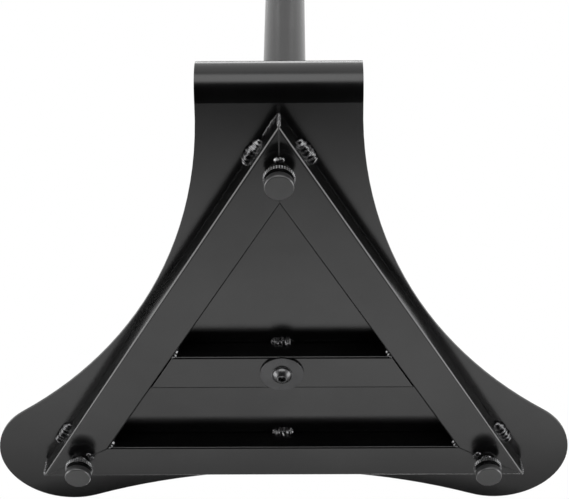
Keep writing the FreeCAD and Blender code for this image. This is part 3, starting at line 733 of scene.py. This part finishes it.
def fit_piece(shape: Shape, name: str, body: str, material: bpy.types.Material,
              node: Optional[str] = None, smooth: float = 35.0) -> bpy.types.Object:
    """Make a new piece of the stand and let it ride on a body.

    Args:
        shape: Its shape, in place.
        name: Its name.
        body: The body that carries it.
        material: Its finish.
        node: The solid that it stands for, if it does.
        smooth: The largest angle in degrees that is shaded as smooth.

    Returns:
        The piece.
    """
    piece = as_object(shape, name, smooth)
    piece.data.materials.append(material)
    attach(piece, body)
    if node is not None:
        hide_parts(node)
    log.info("built %s on %s with %d faces", name, body, len(piece.data.polygons))
    return piece


def dress(material: bpy.types.Material, *nodes: str) -> None:
    """Give carried-over solids their finish.

    Args:
        material: The finish.
        *nodes: The solids' names.
    """
    for node in nodes:
        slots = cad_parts[node].data.materials
        slots.clear()
        slots.append(material)
        log.info("dressed %s as %s", node, material.name)


class Finishes:
    """Every finish of the stand, made as a material once."""

    def __init__(self) -> None:
        """Make the materials."""
        effects = Effects()
        column = tuple(axis_of("column_tube"))
        # Each finish's second colour is painted on its edges: coat rubbed thin, and painted edge highlight.
        self.coat = Finish("satin_black_coat", (0.0025, 0.0025, 0.0026), (0.012, 0.012, 0.0125), 0.19, 0.25,
                           relief_scale=1100.0, relief_strength=0.2).make(effects)
        self.sheet = Finish("coated_sheet", (0.0025, 0.0025, 0.0026), (0.006, 0.006, 0.0062), 0.19, 0.25,
                            relief_scale=1100.0, relief_strength=0.2, edge_radius=0.00015).make(effects)
        self.weld = Finish("coated_weld", (0.12, 0.12, 0.122), (0.2, 0.2, 0.2), 0.18, 0.26, metallic=1.0,
                           relief_scale=500.0, relief_strength=0.5, edge_radius=0.0002).make(effects)
        self.black_steel = Finish("black_zinc_steel", (0.10, 0.10, 0.102), (0.22, 0.22, 0.22), 0.2, 0.3,
                                  metallic=0.9, relief_scale=700.0, edge_radius=0.0002).make(effects)
        self.foot_steel = Finish("bright_black_steel", (0.18, 0.18, 0.183), (0.3, 0.3, 0.3), 0.2, 0.28,
                                 metallic=1.0, relief_scale=700.0, edge_radius=0.0001).make(effects)
        self.turned_black = Finish("turned_black_steel", (0.06, 0.06, 0.061), (0.12, 0.12, 0.12), 0.22, 0.30,
                                   metallic=1.0, pattern=Pattern.TURNED, relief_scale=260.0,
                                   relief_strength=0.15, edge_radius=0.0003,
                                   turning_axis=column).make(effects)
        self.steel = Finish("turned_steel", (0.42, 0.42, 0.43), (0.6, 0.6, 0.6), 0.28, 0.4, metallic=1.0,
                            edge_radius=0.0003).make(effects)
        self.cast = Finish("painted_casting", (0.009, 0.009, 0.0093), (0.03, 0.03, 0.031), 0.36, 0.44,
                           relief_scale=600.0, relief_strength=0.5, edge_radius=0.0008).make(effects)
        self.brass = Finish("turned_brass", (0.62, 0.45, 0.18), (0.75, 0.6, 0.3), 0.25, 0.35, metallic=1.0,
                            edge_radius=0.0003).make(effects)
        self.plastic = Finish("moulded_plastic", (0.010, 0.010, 0.010), (0.02, 0.02, 0.02), 0.34, 0.42,
                              pattern=Pattern.MOULDED, relief_scale=1600.0, relief_strength=0.4,
                              edge_radius=0.0003).make(effects)
        self.dull_plastic = Finish("dull_plastic", (0.03, 0.03, 0.0305), (0.05, 0.05, 0.05), 0.3, 0.36,
                                   specular=0.75, pattern=Pattern.MOULDED, relief_scale=1600.0,
                                   relief_strength=0.4, edge_radius=0.0003).make(effects)
        self.nylon = Finish("natural_nylon", (0.6, 0.6, 0.57), (0.7, 0.7, 0.68), 0.38, 0.46,
                            pattern=Pattern.MOULDED).make(effects)
        self.rubber = Finish("black_rubber", (0.018, 0.018, 0.018), (0.03, 0.03, 0.03), 0.65, 0.8,
                             pattern=Pattern.MOULDED, relief_scale=1200.0, relief_strength=0.6,
                             specular=0.35).make(effects)


@dataclass(frozen=True)
class WeldRun:
    """One run of weld: a rippled ridge along a line, clipped by the steel that it lies on."""

    place: Vector
    along: Vector
    out: Vector
    length: float
    leg: float
    ripples: int
    walls: tuple[Vector, ...] = ()
    roughness: float = 0.12
    sides: int = 32
    sink: float = 0.0003
    rings_per_ripple: int = 9
    girth: float = 0.92
    ripple_slant: float = 0.09
    unevenness: float = 1.6
    grain_across: float = 1.5
    grain_along: float = 0.5
    grain_shift: float = 900.0

    def build(self) -> Shape:
        """Shape the run in its place.

        Returns:
            The closed run.
        """
        shape = bmesh.new()
        rings = self.ripples * self.rings_per_ripple
        bmesh.ops.create_uvsphere(shape, u_segments=self.sides, v_segments=rings, radius=1.0)
        for vert in shape.verts:
            swell = self._swell(vert.co)
            vert.co.x *= swell
            vert.co.y *= swell
        bmesh.ops.scale(shape, verts=shape.verts, vec=(self.leg, self.leg, self.length / 2))
        turn = Matrix((self.out, self.along.cross(self.out), self.along)).transposed().to_4x4()
        bmesh.ops.transform(shape, matrix=Matrix.Translation(self.place) @ turn, verts=shape.verts)
        for wall in self.walls:
            trim(shape, self.place - wall * self.sink, wall)
        return shape

    def _swell(self, spot: Vector) -> float:
        """Work out how far the ridge stands out at a spot of its unit sphere.

        Args:
            spot: The spot, with the run along Z and its open side towards +X.

        Returns:
            The factor on its distance from the run's line.
        """
        blunt = math.sqrt(1.0 + spot.z ** 2)
        wave = math.sin(math.pi * self.ripples * (spot.z + self.ripple_slant * spot.x))
        grain = Vector((spot.x * self.grain_across, spot.y * self.grain_across,
                        spot.z * self.ripples * self.grain_along))
        uneven = noise.noise(grain + self.place * self.grain_shift)
        return blunt * (self.girth + self.roughness * wave + self.unevenness * self.roughness * uneven)


@dataclass
class BaseFrame:
    """Base plate on its mitred tube frame, with the welds that hold them together."""

    side: float = 0.3629
    bar_width: float = 0.030
    bush_radius: float = 0.007
    foot_from_corner: float = 0.034
    bead_from_corner: float = 0.0344
    bead_length: float = 0.022
    inner_bead_length: float = 0.0165
    bead_leg: float = 0.0049
    bead_ripples: int = 6
    seam_leg: float = 0.0005
    seam_gap: float = 0.0005
    seam_ripples: int = 16
    edge_leg: float = 0.0013
    edge_gap: float = 0.0005
    edge_ripples: int = 9
    thin_leg: float = 0.0011
    thin_length: float = 0.018
    thin_from_corner: float = 0.0117
    thin_ripples: int = 11
    corner_leg: float = 0.0042
    corner_ripples: int = 5
    tack_circle: float = 0.0088
    tack_length: float = 0.007
    tack_leg: float = 0.0021
    tack_ripples: int = 3
    tack_flatness: float = 0.48

    def build(self, finishes: Finishes) -> None:
        """Dress the plate and bars, and lay the welds.

        Args:
            finishes: The stand's finishes.
        """
        dress(finishes.sheet, "base_plate")
        dress(finishes.coat, "frame_bar_front", "frame_bar_left", "frame_bar_right", "frame_cross_bar")
        dress(finishes.coat, *(f"foot_bush_{foot.node}" for foot in Foot))
        welds = (("weld_runs", self._beads(), finishes.weld, "weld_beads"),
                 ("mitre_seams", self._seams(), finishes.coat, None),
                 ("corner_runs", (*self._edges(), *self._corners()), finishes.weld, None))
        for name, runs, finish, node in welds:
            shape = gather(run.build() for run in runs)
            fit_piece(shape, name, "base", finish, node, smooth=WELD_SMOOTH)
        tacks = gather(run.build() for run in self._tacks())
        bmesh.ops.scale(tacks, vec=(1.0, 1.0, self.tack_flatness), verts=tacks.verts,
                        space=Matrix.Translation(DOWN * self.underside))
        fit_piece(tacks, "bush_tacks", "base", finishes.foot_steel, smooth=WELD_SMOOTH)

    @property
    def inset(self) -> float:
        """Return the distance of the bars' outer walls from the frame's centre."""
        return self.side / (2 * math.sqrt(3))

    @property
    def centre(self) -> Vector:
        """Return the point on the floor under the frame's centre."""
        return Vector((0.0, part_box("frame_bar_front")[0].y + self.inset, 0.0))

    @property
    def underside(self) -> float:
        """Return the height of the frame's underside."""
        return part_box("frame_bar_front")[0].z

    @property
    def plate(self) -> float:
        """Return the height of the plate's underside."""
        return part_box("frame_bar_front")[1].z

    def _beads(self) -> Iterable[WeldRun]:
        """Yield the fillet beads between the plate and the bars."""
        reach = self.side / 2 - self.bead_from_corner
        for bar in SideBar:
            wall = self.centre + bar.outward * self.inset
            along = bar.outward.cross(DOWN)
            for side in (-1, 1):
                yield self._bead(wall + along * side * reach, bar.outward, self.bead_length)
        for bar in ("frame_cross_bar", "frame_bar_front"):
            wall = Vector((0.0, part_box(bar)[1].y, 0.0))
            yield self._bead(wall, BACKWARD, self.inner_bead_length)

    def _bead(self, spot: Vector, outward: Vector, length: float) -> WeldRun:
        """Lay one fillet bead in the corner of the plate and a bar's wall.

        Args:
            spot: The point on the floor under the bead's middle.
            outward: The wall's normal.
            length: Length of the bead.

        Returns:
            The run.
        """
        return WeldRun(spot + UP * self.plate, outward.cross(DOWN), (outward + DOWN).normalized(), length,
                       self.bead_leg, self.bead_ripples, (outward, DOWN))

    def _seams(self) -> Iterable[WeldRun]:
        """Yield the ground seams of the mitres on the frame's underside, which stop at the bushes."""
        bush = self.bush_radius + self.seam_gap
        stretches = ((self.seam_gap, self.foot_from_corner - bush),
                     (self.foot_from_corner + bush, 2 * self.bar_width - self.seam_gap))
        for foot in Foot:
            corner = self.centre + foot.outward * 2 * self.inset
            for start, end in stretches:
                middle = corner - foot.outward * (start + end) / 2
                yield WeldRun(middle + UP * self.underside, foot.outward, DOWN, end - start, self.seam_leg,
                              self.seam_ripples, (DOWN,), roughness=0.05, sides=12)

    def _edges(self) -> Iterable[WeldRun]:
        """Yield the runs down the mitres' outer edges and a thin run by the back."""
        middle = UP * (self.underside + self.plate) / 2
        height = self.plate - self.underside
        for foot in Foot:
            edge = self.centre + foot.outward * (2 * self.inset - self.edge_leg / 2)
            yield WeldRun(edge + middle, DOWN, foot.outward, height - 2 * self.edge_gap, self.edge_leg,
                          self.edge_ripples, roughness=0.2, sides=16)
        outward = SideBar.RIGHT.outward
        along = outward.cross(DOWN)
        spot = self.centre + outward * self.inset + along * (self.side / 2 - self.thin_from_corner)
        yield WeldRun(spot + UP * self.plate, along, (outward + DOWN).normalized(), self.thin_length,
                      self.thin_leg, self.thin_ripples, (outward, DOWN), roughness=0.2, sides=16)

    def _corners(self) -> Iterable[WeldRun]:
        """Yield the runs up the sharp inner corners, where the front bar and the cross bar meet the sides."""
        middle = (self.underside + self.plate) / 2
        inner = self.inset - self.bar_width
        for bar in ("frame_bar_front", "frame_cross_bar"):
            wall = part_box(bar)[1].y
            across = (2 * inner - (wall - self.centre.y)) / math.sqrt(3)
            for bar_side, side in ((SideBar.LEFT, -1.0), (SideBar.RIGHT, 1.0)):
                slope = -bar_side.outward
                yield WeldRun(Vector((side * across, wall, middle)), DOWN, (slope + BACKWARD).normalized(),
                              self.plate - self.underside, self.corner_leg, self.corner_ripples,
                              (slope, BACKWARD), roughness=0.1, sides=20)

    def _tacks(self) -> Iterable[WeldRun]:
        """Yield the two tacks that hold each foot's bush where the mitre meets it."""
        for foot in Foot:
            bush = self.centre + foot.outward * (2 * self.inset - self.foot_from_corner)
            for side in (-1, 1):
                outward = foot.outward * side
                spot = bush + outward * self.tack_circle
                yield WeldRun(spot + UP * self.underside, outward.cross(DOWN), DOWN, self.tack_length,
                              self.tack_leg, self.tack_ripples, (DOWN,), roughness=0.2, sides=20)


@dataclass
class LevellingFoot:
    """One levelling foot: a pad on the end of a screw with a knurled wheel."""

    corner: Foot
    pad_radius: float = 0.0095
    pad_height: float = 0.0049
    pad_chamfer: float = 0.0005
    pad_chamfer_height: float = 0.0009
    pad_rim: float = 0.0005
    pad_edge: float = 0.00025
    pad_steps: int = 72
    socket_depth: float = 0.0025
    socket_play: float = 0.00008
    spigot_radius: float = 0.003
    neck_radius: float = 0.0045
    neck_length: float = 0.0034
    stem_edge: float = 0.0002
    stem_steps: int = 48
    wheel_radius: float = 0.0104
    wheel_thickness: float = 0.0030
    overlap: float = 0.0005
    play: float = 0.00005
    knurl: Knurl = Knurl()
    stud: Thread = Thread()

    def build(self, finishes: Finishes) -> None:
        """Build the pad and the screw in their places.

        Args:
            finishes: The stand's finishes.
        """
        node = self.corner.node
        spot = axis_of(f"foot_pad_{node}")
        pad = self._pad()
        bmesh.ops.translate(pad, verts=pad.verts, vec=spot)
        fit_piece(pad, f"levelling_pad_{node}", f"foot_pad_{node}", finishes.dull_plastic,
                  f"foot_pad_{node}")
        screw = self._screw(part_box(f"foot_screw_{node}")[1].z)
        bmesh.ops.translate(screw, verts=screw.verts, vec=spot)
        fit_piece(screw, f"levelling_screw_{node}", f"foot_screw_{node}", finishes.foot_steel,
                  f"foot_screw_{node}", smooth=20.0)

    def _pad(self) -> Shape:
        """Turn the pad, with its socket for the screw.

        Returns:
            The pad about the Z axis.
        """
        floor = self.pad_height - self.socket_depth
        socket = self.spigot_radius + self.socket_play
        edge = self.pad_radius - self.pad_chamfer
        shape = lathe([(0.0, 0.0), (edge - self.pad_rim, 0.0), (edge, 0.0),
                       (self.pad_radius, self.pad_chamfer_height), (self.pad_radius, self.pad_height),
                       (socket, self.pad_height), (socket, floor), (0.0, floor)], self.pad_steps)
        soften(shape, self.pad_edge, sharper_than=25.0)
        return shape

    def _screw(self, top: float) -> Shape:
        """Build the spigot and neck, the knurled wheel and the threaded stud.

        Args:
            top: Height of the stud's end.

        Returns:
            The screw about the Z axis.
        """
        floor = self.pad_height - self.socket_depth + self.play
        neck = self.pad_height + self.play
        wheel = self.pad_height + self.neck_length
        above = wheel + self.wheel_thickness
        stem = lathe([(0.0, floor), (self.spigot_radius, floor), (self.spigot_radius, neck),
                      (self.neck_radius, neck), (self.neck_radius, wheel + self.overlap),
                      (0.0, wheel + self.overlap)], self.stem_steps)
        soften(stem, self.stem_edge)
        disc = self.knurl.build(self.wheel_radius, wheel, above)
        return gather((stem, disc, self.stud.build(above - self.overlap, top)))


@dataclass
class ColumnFixing:
    """Button-head bolt, spring washer and large washer that hold the column, and the plug they pull on."""

    head_radius: float = 0.007
    head_height: float = 0.0044
    head_steps: int = 72
    dome_radius: float = 0.0077
    dome_steps: int = 12
    face_radius: float = 0.0036
    socket_flats: float = 0.005
    socket_depth: float = 0.0026
    mouth_flats: float = 0.0055
    mouth_depth: float = 0.00025
    overlap: float = 0.0003
    shank: Thread = Thread()

    def build(self, finishes: Finishes) -> None:
        """Build the bolt, and dress the washers and the plug.

        Args:
            finishes: The stand's finishes.
        """
        dress(finishes.turned_black, "column_washer")
        dress(finishes.black_steel, "column_spring_washer")
        dress(finishes.steel, "column_plug")
        low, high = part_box("column_bolt")
        bolt = self._bolt(low.z, high.z)
        bmesh.ops.translate(bolt, verts=bolt.verts, vec=axis_of("column_tube"))
        fit_piece(bolt, "socket_bolt", "base", finishes.black_steel, "column_bolt")

    def _bolt(self, low: float, high: float) -> Shape:
        """Build the button head with its hexagon socket, and the threaded shank.

        Args:
            low: Height of the head's face.
            high: Height of the shank's end.

        Returns:
            The bolt about the Z axis.
        """
        under = low + self.head_height
        face_slope = math.asin(self.face_radius / self.dome_radius)
        rim_slope = math.asin(self.head_radius / self.dome_radius)
        crown = low + self.dome_radius * math.cos(face_slope)
        rim = crown - self.dome_radius * math.cos(rim_slope)
        head = bmesh.new()
        bmesh.ops.create_cone(head, cap_ends=True, segments=self.head_steps, radius1=self.head_radius,
                              radius2=self.head_radius, depth=under - rim)
        bmesh.ops.translate(head, verts=head.verts, vec=UP * (under + rim) / 2)
        face = min(head.faces, key=lambda item: item.calc_center_median().z)
        for step in range(1, self.dome_steps + 1):
            slope = rim_slope + (face_slope - rim_slope) * step / self.dome_steps
            face = self._drawn_face(head, face, self.dome_radius * math.sin(slope),
                                    crown - self.dome_radius * math.cos(slope))
        for flats, depth in ((self.mouth_flats, 0.0), (self.socket_flats, self.mouth_depth),
                             (self.socket_flats, self.socket_depth)):
            face = self._drawn_face(head, face, flats / 2, low + depth, hexagon=True)
        bmesh.ops.recalc_face_normals(head, faces=head.faces)
        return gather((head, self.shank.build(under - self.overlap, high)))

    @staticmethod
    def _drawn_face(head: Shape, face: bmesh.types.BMFace, radius: float, level: float,
                    hexagon: bool = False) -> bmesh.types.BMFace:
        """Extrude a face of the head and draw it to a circle or a hexagon at a level.

        Args:
            head: The head.
            face: The face to extrude.
            radius: Radius of the circle, or half of the hexagon's width across its flats.
            level: Height of the new face.
            hexagon: Whether the new face is a hexagon.

        Returns:
            The new face.
        """
        drawn = bmesh.ops.extrude_discrete_faces(head, faces=[face])["faces"][0]
        for vert in drawn.verts:
            angle = math.atan2(vert.co.y, vert.co.x)
            within = (angle + SIXTH_TURN / 2) % SIXTH_TURN - SIXTH_TURN / 2
            reach = radius / math.cos(within) if hexagon else radius
            vert.co = (reach * math.cos(angle), reach * math.sin(angle), level)
        return drawn


@dataclass
class Column:
    """Column tube with the clamp collar on its top."""

    def build(self, finishes: Finishes) -> None:
        """Dress the tube, the collar and its set screws.

        Args:
            finishes: The stand's finishes.
        """
        dress(finishes.coat, "column_tube")
        dress(finishes.cast, "clamp_collar")
        dress(finishes.black_steel, "collar_set_screws")


@dataclass
class Clamp:
    """Star knob on a threaded screw that presses a shoe on the inner tube.

    The knob's profiles give a distance inwards from the rim or the cap, and one from the knob's back or face.
    """

    knob_radius: float = 0.022
    knob_steps: int = 144
    hub_radius: float = 0.012
    hub_height: float = 0.0012
    cap_radius: float = 0.0105
    lobes: int = 6
    lobe_depth: float = 0.0045
    hollow_narrowness: float = 1.5
    back_profile: Outline = ((3.4 * MM, 2.6 * MM), (1.0 * MM, 3.4 * MM), (0.0, 5.2 * MM))
    face_profile: Outline = ((0.0, 3.6 * MM), (0.7 * MM, 1.7 * MM), (2.2 * MM, 0.5 * MM), (4.5 * MM, 0.0))
    cap_profile: Outline = ((-0.6 * MM, 0.0), (0.0, 0.7 * MM), (0.5 * MM, 0.5 * MM), (4.2 * MM, 0.15 * MM))
    screw: Thread = Thread()

    def build(self, finishes: Finishes) -> None:
        """Build the knob and its screw, and dress the insert and the shoe.

        Args:
            finishes: The stand's finishes.
        """
        dress(finishes.brass, "clamp_insert", "clamp_shoe")
        column = axis_of("column_tube")
        low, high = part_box("clamp_screw")
        seat = Matrix.Translation((column.x, column.y, (low.z + high.z) / 2)) @ TO_BACK
        screw = self.screw.build(low.y - column.y, high.y - column.y)
        bmesh.ops.transform(screw, matrix=seat, verts=screw.verts)
        fit_piece(screw, "clamp_thread", "knob", finishes.black_steel, "clamp_screw")
        low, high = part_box("clamp_knob")
        knob = self._knob(low.y - column.y, high.y - column.y)
        bmesh.ops.transform(knob, matrix=seat, verts=knob.verts)
        fit_piece(knob, "star_knob", "knob", finishes.plastic, "clamp_knob", smooth=40.0)

    def _knob(self, low: float, high: float) -> Shape:
        """Turn the knob's round form, then press the hollows between its lobes.

        Args:
            low: Distance of its hub from the column's axis.
            high: Distance of its face from the column's axis.

        Returns:
            The knob along the Z axis.
        """
        rim = self.knob_radius
        outline = [(0.0, low), (self.hub_radius, low), (self.hub_radius, low + self.hub_height)]
        outline += [(rim - inwards, low + rise) for inwards, rise in self.back_profile]
        outline += [(rim - inwards, high - drop) for inwards, drop in self.face_profile]
        outline += [(self.cap_radius - inwards, high - drop) for inwards, drop in self.cap_profile]
        outline += [(0.0, high)]
        shape = lathe(outline, self.knob_steps)
        for vert in shape.verts:
            reach = math.hypot(vert.co.x, vert.co.y)
            share = max(0.0, (reach - self.hub_radius) / (rim - self.hub_radius))
            if share > 0.0:
                wave = 0.5 + 0.5 * math.cos(self.lobes * math.atan2(vert.co.y, vert.co.x))
                inward = 1.0 - self.lobe_depth * wave ** self.hollow_narrowness * share / reach
                vert.co.x *= inward
                vert.co.y *= inward
        return shape


@dataclass
class Mast:
    """Inner tube with its end plug and guide ring, and the hub that carries the platform."""

    def build(self, finishes: Finishes) -> None:
        """Dress the tube, its plug, the ring and the hub.

        Args:
            finishes: The stand's finishes.
        """
        dress(finishes.coat, "inner_tube", "platform_hub")
        dress(finishes.steel, "inner_end_plug")
        dress(finishes.nylon, "guide_ring")


@dataclass
class Platform:
    """Platform plate with its countersunk screws and four ribbed rubber strips."""

    strips: int = 4
    strip_corner: float = 0.004
    corner_segments: int = 8
    strip_edge: float = 0.0004
    ribs: int = 7
    rib_width: float = 0.0013
    rib_height: float = 0.0006
    rib_round: float = 0.0003

    def build(self, finishes: Finishes) -> None:
        """Dress the plate and its screws, and build the strips.

        Args:
            finishes: The stand's finishes.
        """
        dress(finishes.coat, "platform_plate")
        dress(finishes.black_steel, "platform_screws")
        for number in range(1, self.strips + 1):
            node = f"platform_strip_{number}"
            strip = self._strip(*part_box(node))
            fit_piece(strip, f"ribbed_strip_{number}", "mast", finishes.rubber, node)

    def _strip(self, low: Vector, high: Vector) -> Shape:
        """Build one strip: a slab with rounded corners, and ribs along its top.

        Args:
            low: Lowest corner of its box.
            high: Highest corner of its box.

        Returns:
            The strip in its place.
        """
        middle = (low + high) / 2
        slab = self._block(high.x - low.x, high.y - low.y, high.z - low.z - self.rib_height)
        corners = [edge for edge in slab.edges
                   if abs(edge.verts[0].co.z - edge.verts[1].co.z) > JOIN_DISTANCE]
        bmesh.ops.bevel(slab, geom=corners, offset=self.strip_corner, offset_type="OFFSET",
                        segments=self.corner_segments, profile=0.5, affect="EDGES", material=-1)
        soften(slab, self.strip_edge)
        bmesh.ops.translate(slab, verts=slab.verts, vec=(middle.x, middle.y, middle.z - self.rib_height / 2))
        shapes = [slab]
        length = high.x - low.x - 2 * self.strip_corner
        step = (high.y - low.y - self.strip_corner) / self.ribs
        for index in range(self.ribs):
            rib = self._block(length, self.rib_width, 2 * self.rib_height)
            soften(rib, self.rib_round)
            across = middle.y + (index - (self.ribs - 1) / 2) * step
            bmesh.ops.translate(rib, verts=rib.verts, vec=(middle.x, across, high.z - self.rib_height))
            shapes.append(rib)
        return gather(shapes)

    @staticmethod
    def _block(length: float, width: float, height: float) -> Shape:
        """Make a block about the origin, to be rounded.

        Args:
            length: Along X.
            width: Along Y.
            height: Along Z.

        Returns:
            The block.
        """
        shape = bmesh.new()
        bmesh.ops.create_cube(shape, size=1.0)
        bmesh.ops.scale(shape, verts=shape.verts, vec=(length, width, height))
        return shape


def main() -> None:
    """Build the studio, then every sub-assembly of the stand."""
    logging.basicConfig(level=logging.INFO, format="%(name)s %(message)s")
    Camera().build()
    Studio().build()
    finishes = Finishes()
    feet = [LevellingFoot(corner) for corner in Foot]
    for assembly in (BaseFrame(), *feet, ColumnFixing(), Column(), Clamp(), Mast(), Platform()):
        assembly.build(finishes)


if __name__ == "__main__":
    main()
